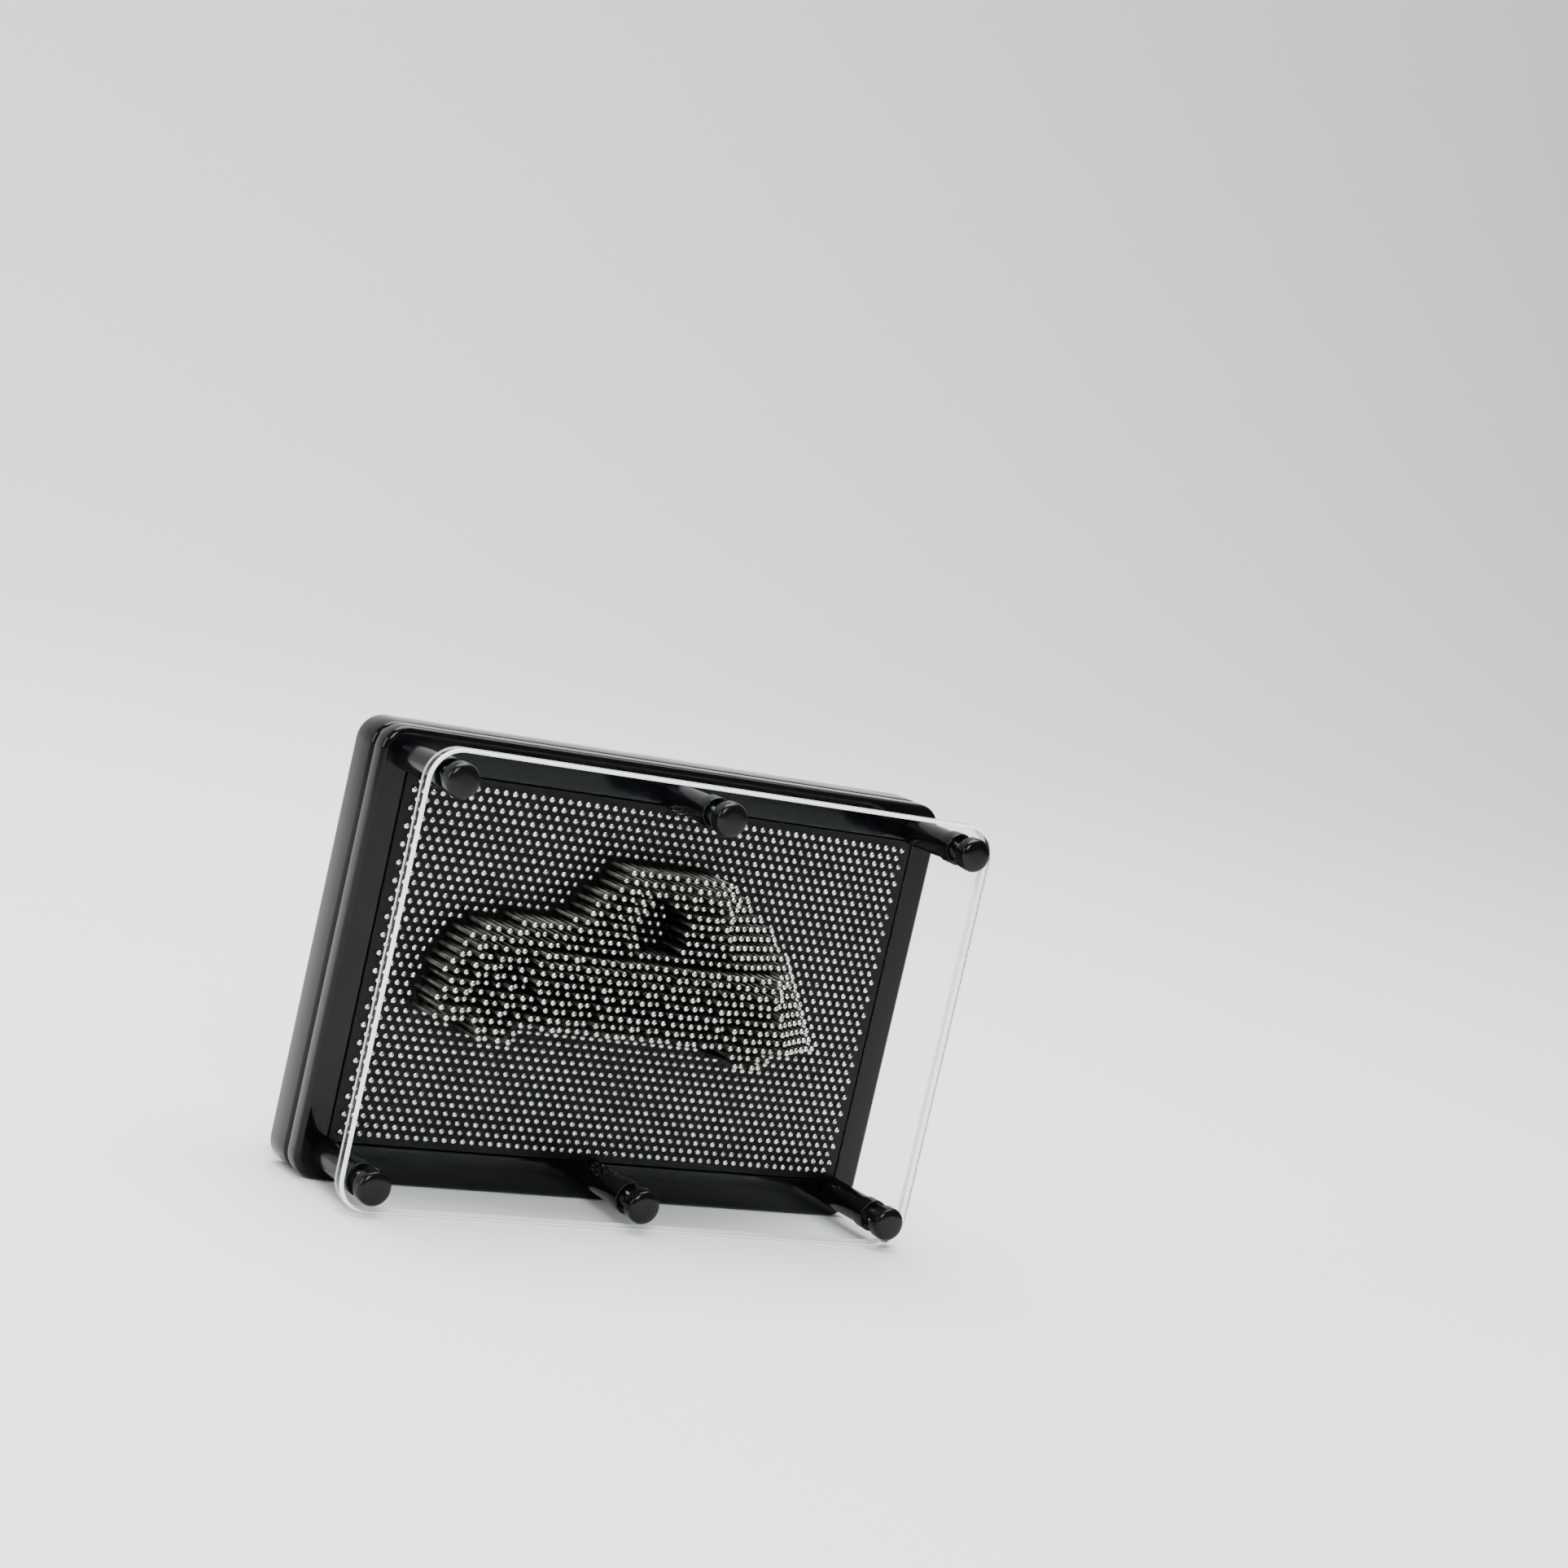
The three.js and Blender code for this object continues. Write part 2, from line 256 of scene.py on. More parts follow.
def moulded_abs(name, colour, gloss, grain):
    """ABS, injection moulded. A polished tool leaves it glossy with a faint ripple, and handling leaves a haze."""
    material, tree = blank(name)
    place_on = add(tree, "ShaderNodeTexCoord").outputs["Object"]
    ripple = add(tree, "ShaderNodeTexNoise", {"Scale": 1 / (6 * MM), "Detail": 2.0}, {"Vector": place_on})
    haze = add(tree, "ShaderNodeTexNoise", {"Scale": 1 / (14 * MM), "Detail": 5.0}, {"Vector": place_on})
    fine = add(tree, "ShaderNodeTexNoise", {"Scale": 1 / (0.5 * MM), "Detail": 2.0}, {"Vector": place_on})
    rough = add(
        tree,
        "ShaderNodeMapRange",
        {"From Min": 0.35, "From Max": 0.7, "To Min": gloss, "To Max": gloss + 0.1},
        {"Value": haze.outputs["Fac"]},
    )
    wave = add(
        tree, "ShaderNodeBump", {"Strength": 0.12, "Distance": 0.05 * MM}, {"Height": ripple.outputs["Fac"]}
    )
    bump = add(
        tree,
        "ShaderNodeBump",
        {"Strength": grain, "Distance": 0.02 * MM},
        {"Height": fine.outputs["Fac"], "Normal": wave.outputs["Normal"]},
    )
    ramp = add(tree, "ShaderNodeValToRGB", links={"Fac": haze.outputs["Fac"]})
    ramp.color_ramp.elements[0].color = linear(colour)
    ramp.color_ramp.elements[0].position = 0.3
    ramp.color_ramp.elements[1].color = linear("0c0d10")
    ramp.color_ramp.elements[1].position = 0.85
    shader = add(
        tree,
        "ShaderNodeBsdfPrincipled",
        {"Metallic": 0.0, "IOR": 1.45, "Specular IOR Level": 0.22},
        {"Base Color": ramp.outputs["Color"], "Roughness": rough.outputs["Result"], "Normal": bump.outputs["Normal"]},
    )
    add(tree, "ShaderNodeOutputMaterial", links={"Surface": shader.outputs["BSDF"]})
    return material


def cast_acrylic():
    """Acrylic sheet, cast. Its faces are clear and mirror at a glance. A real face mirrors about 4% square on: here
    it mirrors nothing until it is well turned away, so that the pale floor's reflection doesn't veil the pins."""
    material, tree = blank("cast_acrylic")
    fresnel = add(tree, "ShaderNodeFresnel", {"IOR": 1.2})
    turned_away = add(tree, "ShaderNodeMapRange", {"From Min": 0.015}, {"Value": fresnel.outputs["Fac"]})
    place_on = add(tree, "ShaderNodeTexCoord").outputs["Object"]
    smear = add(tree, "ShaderNodeTexNoise", {"Scale": 1 / (30 * MM), "Detail": 4.0}, {"Vector": place_on})
    rough = add(
        tree,
        "ShaderNodeMapRange",
        {"From Min": 0.35, "From Max": 0.75, "To Min": 0.02, "To Max": 0.07},
        {"Value": smear.outputs["Fac"]},
    )
    clear = add(tree, "ShaderNodeBsdfTransparent", {"Color": linear("fbfdfd")})
    mirror = add(
        tree, "ShaderNodeBsdfGlossy", {"Color": linear("ffffff")}, {"Roughness": rough.outputs["Result"]}
    )
    mix = add(
        tree,
        "ShaderNodeMixShader",
        links={0: turned_away.outputs["Result"], 1: clear.outputs["BSDF"], 2: mirror.outputs["BSDF"]},
    )
    add(tree, "ShaderNodeOutputMaterial", links={"Surface": mix.outputs["Shader"]})
    return material


def sawn_acrylic_painted_glow():
    """The same sheet's rounded arrises, sawn and flame polished. Their near white colour and faint glow are painted
    light: they stand in for the light the sheet gathers at its edges, so the arrises show as white lines."""
    material, tree = blank("acrylic_edge_painted_glow")
    place_on = add(tree, "ShaderNodeTexCoord").outputs["Object"]
    marks = add(tree, "ShaderNodeTexNoise", {"Scale": 1 / (1.2 * MM), "Detail": 3.0}, {"Vector": place_on})
    bump = add(
        tree, "ShaderNodeBump", {"Strength": 0.3, "Distance": 0.05 * MM}, {"Height": marks.outputs["Fac"]}
    )
    shader = add(
        tree,
        "ShaderNodeBsdfPrincipled",
        {
            # painted highlight and glow: a near white colour and a faint emission stand in for the light the sheet
            # carries to its edges
            "Base Color": linear("f7fafc"),
            "Roughness": 0.25,
            "IOR": 1.49,
            "Alpha": 0.9,
            "Emission Color": linear("eef5fa"),
            "Emission Strength": 0.22,
        },
        {"Normal": bump.outputs["Normal"]},
    )
    add(tree, "ShaderNodeOutputMaterial", links={"Surface": shader.outputs["BSDF"]})
    return material


def plated_steel(name, dull, bright, rough_low, rough_high):
    """Steel wire with a nickel plate, headed cold. Each pin is a little brighter or duller than the next. With dark
    colours it makes the shanks' copy, whose darkness is painted shade.
    """
    material, tree = blank(name)
    place_on = add(tree, "ShaderNodeTexCoord").outputs["Object"]
    each = add(tree, "ShaderNodeTexNoise", {"Scale": 1 / (2.6 * MM), "Detail": 1.0}, {"Vector": place_on})
    wear = add(tree, "ShaderNodeTexNoise", {"Scale": 1 / (0.25 * MM), "Detail": 2.0}, {"Vector": place_on})
    tint = add(tree, "ShaderNodeValToRGB", links={"Fac": each.outputs["Fac"]})
    tint.color_ramp.elements[0].color = linear(dull)
    tint.color_ramp.elements[0].position = 0.35
    tint.color_ramp.elements[1].color = linear(bright)
    tint.color_ramp.elements[1].position = 0.6
    rough = add(
        tree,
        "ShaderNodeMapRange",
        {"From Min": 0.3, "From Max": 0.7, "To Min": rough_low, "To Max": rough_high},
        {"Value": wear.outputs["Fac"]},
    )
    bump = add(
        tree, "ShaderNodeBump", {"Strength": 0.15, "Distance": 0.01 * MM}, {"Height": wear.outputs["Fac"]}
    )
    shader = add(
        tree,
        "ShaderNodeBsdfPrincipled",
        {"Metallic": 1.0},
        {"Base Color": tint.outputs["Color"], "Roughness": rough.outputs["Result"], "Normal": bump.outputs["Normal"]},
    )
    add(tree, "ShaderNodeOutputMaterial", links={"Surface": shader.outputs["BSDF"]})
    return material


def black_oxide():
    """Steel screws, blackened. The oxide is a soft dark grey that rubs bright on the head's edge."""
    material, tree = blank("black_oxide_steel")
    place_on = add(tree, "ShaderNodeTexCoord").outputs["Object"]
    rub = add(tree, "ShaderNodeTexNoise", {"Scale": 1 / (0.7 * MM), "Detail": 4.0}, {"Vector": place_on})
    tint = add(tree, "ShaderNodeValToRGB", links={"Fac": rub.outputs["Fac"]})
    tint.color_ramp.elements[0].color = linear("2a2b2e")
    tint.color_ramp.elements[1].color = linear("5b5c60")
    tint.color_ramp.elements[1].position = 0.8
    rough = add(
        tree,
        "ShaderNodeMapRange",
        {"From Min": 0.3, "From Max": 0.7, "To Min": 0.3, "To Max": 0.5},
        {"Value": rub.outputs["Fac"]},
    )
    shader = add(
        tree,
        "ShaderNodeBsdfPrincipled",
        {"Metallic": 1.0},
        {"Base Color": tint.outputs["Color"], "Roughness": rough.outputs["Result"]},
    )
    add(tree, "ShaderNodeOutputMaterial", links={"Surface": shader.outputs["BSDF"]})
    return material


FRAME_ABS = moulded_abs("gloss_black_abs", "050507", 0.06, 0.0)
POST_ABS = moulded_abs("turned_black_abs", "060608", 0.12, 0.04)
PLATE_ABS = moulded_abs("satin_black_abs", "040405", 0.4, 0.06)
ACRYLIC = cast_acrylic()
# the arrises' white colour and glow are painted light
ACRYLIC_EDGE_PAINTED_GLOW = sawn_acrylic_painted_glow()
PIN_STEEL = plated_steel("nickel_plated_heads", "c4c0b6", "fdfcf8", 0.13, 0.22)
# painted shade: the shanks are the heads' nickel-plated steel, given dark colours that stand in for the shade between
# the pins
SHANK_STEEL_PAINTED_SHADE = plated_steel("shanks_painted_shade", "2c2b28", "4a4844", 0.3, 0.45)
SCREW_STEEL = black_oxide()


# The two halves of the frame
def frame_half(name, box, pocket_depth, back_edge):
    """A ring with rounded edges, a pocket for its plate in front and the ledge the plate sits on behind."""
    front, back = box[0].y, box[1].y
    plate = FRONT_PLATE[1] - FRONT_PLATE[0]
    pocket = Vector((plate.x + 2 * PLATE_FIT, plate.z + 2 * PLATE_FIT))
    loops = []
    for inset, y in quarter(0, front, FRAME_EDGE, 1):
        loops.append(rounded_outline(WIDTH - 2 * inset, HEIGHT - 2 * inset, FRAME_CORNER - inset, y))
    for inset, y in reversed(quarter(0, back, FRAME_EDGE, -1)):
        loops.append(rounded_outline(WIDTH - 2 * inset, HEIGHT - 2 * inset, FRAME_CORNER - inset, y))
    for outset, y in quarter(0, back, back_edge, -1):
        loops.append(rounded_outline(LEDGE.x + 2 * outset, LEDGE.y + 2 * outset, PLATE_CORNER + outset, y))
    floor = front + pocket_depth
    loops.append(rounded_outline(LEDGE.x, LEDGE.y, PLATE_CORNER, floor))
    loops.append(rounded_outline(pocket.x, pocket.y, PLATE_CORNER, floor))
    for outset, y in reversed(quarter(0, front, OPENING_EDGE, 1)):
        loops.append(rounded_outline(pocket.x + 2 * outset, pocket.y + 2 * outset, PLATE_CORNER + outset, y))
    return skin(loops, True)


def build_frame():
    axes = [middle(f"spacer_post_{n}") for n in POSTS]
    pocket = PLATE_DEPTH + 0.1 * MM
    front = frame_half("front", FRONT_FRAME, pocket, OPENING_EDGE)
    ways = [skin(rod(x, z, SCREW_HOLE, FRONT_FRAME[0].y - MM, FRONT_FRAME[1].y + MM), False) for x, z in axes]
    piece("frame_front_half", drilled(front, ways), [FRAME_ABS], "frame", ["front_frame"])
    rear = frame_half("rear", REAR_FRAME, pocket, 0.9 * MM)
    ways = []
    for x, z in axes:
        seat = REAR_FRAME[1].y - SCREW_SEAT_DEPTH
        steps = [
            (SCREW_HOLE, REAR_FRAME[0].y - MM),
            (SCREW_HOLE, seat),
            (SCREW_SEAT, seat),
            (SCREW_SEAT, REAR_FRAME[1].y + MM),
        ]
        ways.append(turned(steps, x, z))
    piece("frame_rear_half", drilled(rear, ways), [FRAME_ABS], "frame", ["rear_frame"])


def build_window():
    front, back = WINDOW[0].y, WINDOW[1].y
    loops = []
    for inset, y in quarter(0, front, WINDOW_EDGE, 1):
        loops.append(rounded_outline(WIDTH - 2 * inset, HEIGHT - 2 * inset, WINDOW_CORNER - inset, y, 10))
    for inset, y in reversed(quarter(0, back, WINDOW_EDGE, -1)):
        loops.append(rounded_outline(WIDTH - 2 * inset, HEIGHT - 2 * inset, WINDOW_CORNER - inset, y, 10))
    ways = [skin(rod(*middle(f"spacer_post_{n}"), WINDOW_HOLE, front - MM, back + MM), False) for n in POSTS]
    bm = drilled(skin(loops, False), ways)
    bmesh.ops.recalc_face_normals(bm, faces=bm.faces)
    for face in bm.faces:
        off_middle = abs(face.calc_center_median().y - (front + back) / 2)
        rounded = (back - front) / 2 - WINDOW_EDGE < off_middle and abs(face.normal.y) < 0.999
        face.material_index = int(rounded)
    piece("acrylic_window", bm, [ACRYLIC, ACRYLIC_EDGE_PAINTED_GLOW], "frame", ["clear_window"])


# Posts, caps and screws
def arc(radius, y, edge, towards, steps=4):
    """(radius, y) pairs of a turned edge, rounded from a flat end at y to the side."""
    return [(radius - inset, depth) for inset, depth in quarter(0, y, edge, towards, steps)]


def build_post(n):
    """A tube with a wider collar where the window rests on it."""
    x, z = middle(f"spacer_post_{n}")
    low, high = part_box(f"spacer_post_{n}")
    outer = (high.x - low.x) / 2
    waist = outer - POST_STEP
    collar = low.y + POST_COLLAR
    profile = [(POST_BORE, low.y)]
    profile += arc(outer, low.y, POST_EDGE, 1)
    profile += [(outer, collar - POST_EDGE), (waist, collar), (waist, high.y - POST_EDGE)]
    profile += [(waist - 0.2 * MM, high.y), (POST_BORE, high.y)]
    bm = turned(profile, x, z, closed=True)
    piece(f"window_post_{n}", bm, [POST_ABS], "frame", [f"spacer_post_{n}"])


def build_cap(n):
    """A domed nut with a neck through the window and a stud in the post."""
    x, z = middle(f"window_cap_{n}")
    low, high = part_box(f"window_cap_{n}")
    outer = (high.x - low.x) / 2
    under = WINDOW[0].y - 0.05 * MM
    seat = WINDOW[1].y - 0.05 * MM
    crown = low.y
    profile = [(ON_AXIS, crown), (outer - CAP_DOME - 0.9 * MM, crown + 0.02 * MM)]
    for i in range(1, 7):
        turn = math.pi / 2 * i / 6
        across = outer - CAP_DOME * (1 - math.sin(turn))
        profile.append((across, crown + 0.06 * MM + CAP_DOME * (1 - math.cos(turn))))
    profile += [(outer, under - 0.15 * MM), (outer - 0.15 * MM, under)]
    profile += [(CAP_NECK, under), (CAP_NECK, seat), (STUD_RADIUS, seat)]
    profile += [(STUD_RADIUS, high.y - STUD_TIP), (STUD_RADIUS - STUD_TIP, high.y), (ON_AXIS, high.y)]
    piece(f"post_cap_{n}", turned(profile, x, z), [POST_ABS], "frame", [f"window_cap_{n}"])


def build_screw(n):
    """A pan head screw with a cross recess, its head sunk in the back of the frame."""
    x, z = middle(f"frame_screw_{n}")
    low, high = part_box(f"frame_screw_{n}")
    head = (high.x - low.x) / 2
    top, under = high.y, high.y - SCREW_HEAD
    rim = under + SCREW_RIM
    profile = [(ON_AXIS, low.y), (STUD_RADIUS - STUD_TIP, low.y), (STUD_RADIUS, low.y + 0.4 * MM)]
    profile += [(STUD_RADIUS, under), (head, under), (head, rim)]
    for i in range(1, 6):
        turn = math.pi / 2 * i / 6
        across = head * math.cos(turn) + 0.1 * MM * math.sin(turn)
        profile.append((across, rim + (SCREW_HEAD - SCREW_RIM) * math.sin(turn)))
    profile.append((ON_AXIS, top))
    crossed = []
    for wide, tall in ((CROSS_ARM, CROSS_WIDE), (CROSS_WIDE, CROSS_ARM)):
        arms = bmesh.new()
        bmesh.ops.create_cube(arms, size=1)
        for v in arms.verts:
            taper = (CROSS_TAPER if v.co.y < 0 else 1.0) * 2 * MM
            across, up = wide * v.co.x * taper, tall * v.co.z * taper
            v.co = Vector((x + across, top + v.co.y * CROSS_DEEP * MM, z + up))
        crossed.append(arms)
    bm = drilled(turned(profile, x, z, 24), crossed)
    piece(f"back_screw_{n}", bm, [SCREW_STEEL], "frame", [f"frame_screw_{n}"])


# The impression in the bed: a little car, in millimetres from the bed's centre
NOSE = -47
TAILBOARD = 42
BELT = 7.5
SILL = -8.5
END_SPLIT = -5
CAR_TOP = [
    (NOSE, -3),
    (-44, 6),
    (-38, 10.5),
    (-21, 12.5),
    (-11, 23.5),
    (8, 24.5),
    (16, 22.5),
    (28, 14),
    (37, 3),
    (TAILBOARD, -6),
]
WHEELS = [(-33, -6.5), (22, -7)]
WHEEL = 6
PORTHOLE = (-2, 13.2)
PORTHOLE_RADIUS = 5.4
LEAST_RISE = {"body_1": 2.6, "body_6": 7.5, "cabin_4": 6.0, "porthole": 0.6}  # below the group's highest pin
RELIEF = 1.6  # the same for any other raised group


def top_at(x):
    """z of the car's upper outline, or the line that parts the resting groups beside the car."""
    for (x0, z0), (x1, z1) in zip(CAR_TOP, CAR_TOP[1:]):
        if x0 < x < x1:
            return z0 + (z1 - z0) * (x - x0) / (x1 - x0)
    return END_SPLIT


def bottom_at(x):
    """z of the car's lower outline with its wheels, or the same parting line."""
    if not NOSE < x < TAILBOARD:
        return END_SPLIT
    low = SILL
    for cx, cz in WHEELS:
        if abs(x - cx) < WHEEL:
            low = min(low, cz - math.sqrt(WHEEL**2 - (x - cx) ** 2))
    return low


def group_of(x, z):
    """Which group of pins a place in the bed belongs to."""
    strip = min(7, int((x * MM + 4 * STRIP) // STRIP))
    if math.hypot(x - PORTHOLE[0], z - PORTHOLE[1]) < PORTHOLE_RADIUS:
        return "porthole"
    if z > top_at(x):
        return f"above_{strip + 1}"
    if z < bottom_at(x):
        return f"below_{strip + 1}"
    if z > BELT and -28 <= x < 28:
        return f"cabin_{strip - 1}"
    return f"body_{min(max(strip, 1), 6)}"


def edge_distance(x, z):
    """How far a place inside the car is from the car's upper outline."""
    nearest = 99
    for (x0, z0), (x1, z1) in zip(CAR_TOP, CAR_TOP[1:]):
        along = ((x - x0) * (x1 - x0) + (z - z0) * (z1 - z0)) / ((x1 - x0) ** 2 + (z1 - z0) ** 2)
        along = min(1, max(0, along))
        nearest = min(nearest, math.hypot(x - x0 - along * (x1 - x0), z - z0 - along * (z1 - z0)))
    return nearest


def fall(x, z, group, draw):
    """How far a raised pin stands below its group's highest, from 0 to 1 of what the group allows."""
    if group == "porthole":
        return 0.8 + 0.2 * draw
    edge = edge_distance(x, z)
    if group in ("cabin_4", "body_6"):
        return min(1, max(0, 1 - (edge - 0.8) / 9.5)) ** 0.9 * 0.97
    share = 0.8 * draw
    share += 0.45 * max(0, 1 - edge / 3.5)
    for cx, cz in WHEELS:
        ring = abs(math.hypot(x - cx, z - cz) - WHEEL - 1)
        share += 0.6 * max(0, 1 - ring / 1.3)
    share += 0.35 * max(0, 1 - abs(x - 9) / 1.2) * (z < 11)
    return min(1, share)


def pin_places():
    """{group: [(x, y of the head's back, z)]} in metres."""
    draw = random.Random(41)
    places = {}
    for row in range(ROWS):
        z = ((ROWS - 1) / 2 - row) * ROW_PITCH
        for column in range(COLUMNS):
            x = (column - (COLUMNS - 1) / 2 + (-0.25 if row % 2 else 0.25)) * PITCH
            group = group_of(x / MM, z / MM)
            share = draw.random()
            low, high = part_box(f"pins_{group}")
            head_back = low.y + HEAD_THICK
            if group[:5] not in ("above", "below"):
                room = LEAST_RISE.get(group, RELIEF) * MM
                head_back += room * fall(x / MM, z / MM, group, share)
            places.setdefault(group, []).append((x, head_back, z + CENTRE))
    return places


# Geometry Nodes
def new_tree(name, sizes):
    """A node tree with a geometry input and output, and a named float input for each size."""
    tree = bpy.data.node_groups.new(name, "GeometryNodeTree")
    face = tree.interface
    face.new_socket("Geometry", in_out="INPUT", socket_type="NodeSocketGeometry")
    for label, value in sizes.items():
        face.new_socket(label, in_out="INPUT", socket_type="NodeSocketFloat").default_value = value
    face.new_socket("Geometry", in_out="OUTPUT", socket_type="NodeSocketGeometry")
    return tree, tree.nodes.new("NodeGroupInput").outputs


def grown(name, tree, points, sizes):
    """The mesh that a tree makes from loose points."""
    seed = bpy.data.meshes.new(name + "_points")
    seed.from_pydata(points, [], [])
    thing = bpy.data.objects.new(name + "_points", seed)
    bpy.context.scene.collection.objects.link(thing)
    run = thing.modifiers.new("make", "NODES")
    run.node_group = tree
    for item in tree.interface.items_tree:
        if item.item_type == "SOCKET" and item.in_out == "INPUT" and item.name in sizes:
            run[item.identifier] = sizes[item.name]
    bpy.context.view_layer.update()
    ready = thing.evaluated_get(bpy.context.evaluated_depsgraph_get())
    mesh = bpy.data.meshes.new_from_object(ready)
    mesh.name = name
    thing.modifiers.remove(run)
    bpy.data.objects.remove(thing)
    bpy.data.meshes.remove(seed)
    return mesh


PIN_SIZES = {
    "Head Radius": HEAD_RADIUS,
    "Head Thickness": HEAD_THICK,
    "Shank Radius": PIN_RADIUS,
    "Length": PIN_LENGTH,
    "Tip": 0.35 * MM,
}


def pin_tree():
    """A headed pin at each point, which is at the flat back of its domed head. The shank runs along +Y."""
    tree, size = new_tree("headed_pins", PIN_SIZES)
    ball = add(tree, "GeometryNodeMeshUVSphere", {"Segments": 8, "Rings": 6, "Radius": 1.0})
    spread = add(
        tree,
        "ShaderNodeCombineXYZ",
        links={"X": size["Head Radius"], "Y": size["Head Thickness"], "Z": size["Head Radius"]},
    )
    turn = add(
        tree,
        "GeometryNodeTransform",
        {"Rotation": (math.pi / 2, 0, 0)},
        {"Geometry": ball.outputs["Mesh"]},
    )
    lens = add(
        tree, "GeometryNodeTransform", links={"Geometry": turn.outputs["Geometry"], "Scale": spread.outputs[0]}
    )
    spot = add(tree, "ShaderNodeSeparateXYZ", links={0: add(tree, "GeometryNodeInputPosition").outputs[0]})
    front_half = add(tree, "ShaderNodeMath", {1: 0.0}, {0: spot.outputs["Y"]}, operation="MINIMUM")
    flattened = add(
        tree,
        "ShaderNodeCombineXYZ",
        links={"X": spot.outputs["X"], "Y": front_half.outputs[0], "Z": spot.outputs["Z"]},
    )
    head = add(
        tree, "GeometryNodeSetPosition", links={"Geometry": lens.outputs["Geometry"], "Position": flattened.outputs[0]}
    )
    shank_long = add(
        tree, "ShaderNodeMath", links={0: size["Length"], 1: size["Head Thickness"]}, operation="SUBTRACT"
    )
    body_long = add(
        tree, "ShaderNodeMath", links={0: shank_long.outputs[0], 1: size["Tip"]}, operation="SUBTRACT"
    )
    shank = add(
        tree,
        "GeometryNodeMeshCone",
        {"Vertices": 8},
        {"Radius Top": size["Shank Radius"], "Radius Bottom": size["Shank Radius"], "Depth": body_long.outputs[0]},
    )
    tip_end = add(tree, "ShaderNodeMath", {1: 0.5}, {0: size["Shank Radius"]}, operation="MULTIPLY")
    tip = add(
        tree,
        "GeometryNodeMeshCone",
        {"Vertices": 8},
        {"Radius Top": tip_end.outputs[0], "Radius Bottom": size["Shank Radius"], "Depth": size["Tip"]},
    )
    lift = add(tree, "ShaderNodeCombineXYZ", links={"Z": body_long.outputs[0]})
    tip_up = add(
        tree, "GeometryNodeTransform", links={"Geometry": tip.outputs["Mesh"], "Translation": lift.outputs[0]}
    )
    both = add(tree, "GeometryNodeJoinGeometry")
    tree.links.new(shank.outputs["Mesh"], both.inputs[0])
    tree.links.new(tip_up.outputs["Geometry"], both.inputs[0])
    laid = add(
        tree,
        "GeometryNodeTransform",
        {"Rotation": (-math.pi / 2, 0, 0)},
        {"Geometry": both.outputs["Geometry"]},
    )
    sides = add(tree, "GeometryNodeInputNormal")
    split = add(tree, "ShaderNodeSeparateXYZ", links={0: sides.outputs["Normal"]})
    upright = add(tree, "ShaderNodeMath", links={0: split.outputs["Y"]}, operation="ABSOLUTE")
    round_side = add(
        tree, "FunctionNodeCompare", {"B": 0.9}, {"A": upright.outputs[0]}, operation="LESS_THAN", data_type="FLOAT"
    )
    smooth_shank = add(
        tree,
        "GeometryNodeSetShadeSmooth",
        links={"Geometry": laid.outputs["Geometry"], "Selection": round_side.outputs["Result"]},
    )
    smooth_head = add(tree, "GeometryNodeSetShadeSmooth", links={"Geometry": head.outputs["Geometry"]})
    whole = add(tree, "GeometryNodeJoinGeometry")
    # the heads take the plated steel, the shanks a copy darkened with painted shade
    for part, steel in ((smooth_head, PIN_STEEL), (smooth_shank, SHANK_STEEL_PAINTED_SHADE)):
        done = add(tree, "GeometryNodeSetMaterial", {"Material": steel}, {"Geometry": part.outputs["Geometry"]})
        tree.links.new(done.outputs["Geometry"], whole.inputs[0])
    source = size["Geometry"]
    lean = add(
        tree,
        "FunctionNodeRandomValue",
        {"Min": (-0.003, -3.0, -0.003), "Max": (0.003, 3.0, 0.003), "Seed": 7},
        data_type="FLOAT_VECTOR",
    )
    stood = add(
        tree,
        "GeometryNodeInstanceOnPoints",
        links={"Points": source, "Instance": whole.outputs["Geometry"], "Rotation": lean.outputs["Value"]},
    )
    real = add(tree, "GeometryNodeRealizeInstances", links={"Geometry": stood.outputs["Instances"]})
    end = tree.nodes.new("NodeGroupOutput")
    tree.links.new(real.outputs["Geometry"], end.inputs[0])
    return tree


PLATE_SIZES = {
    "Width": 0.1,
    "Height": 0.1,
    "Corner": PLATE_CORNER,
    "Thickness": PLATE_DEPTH,
    "Hole": PIN_HOLE,
    "Back": 0.0,
}


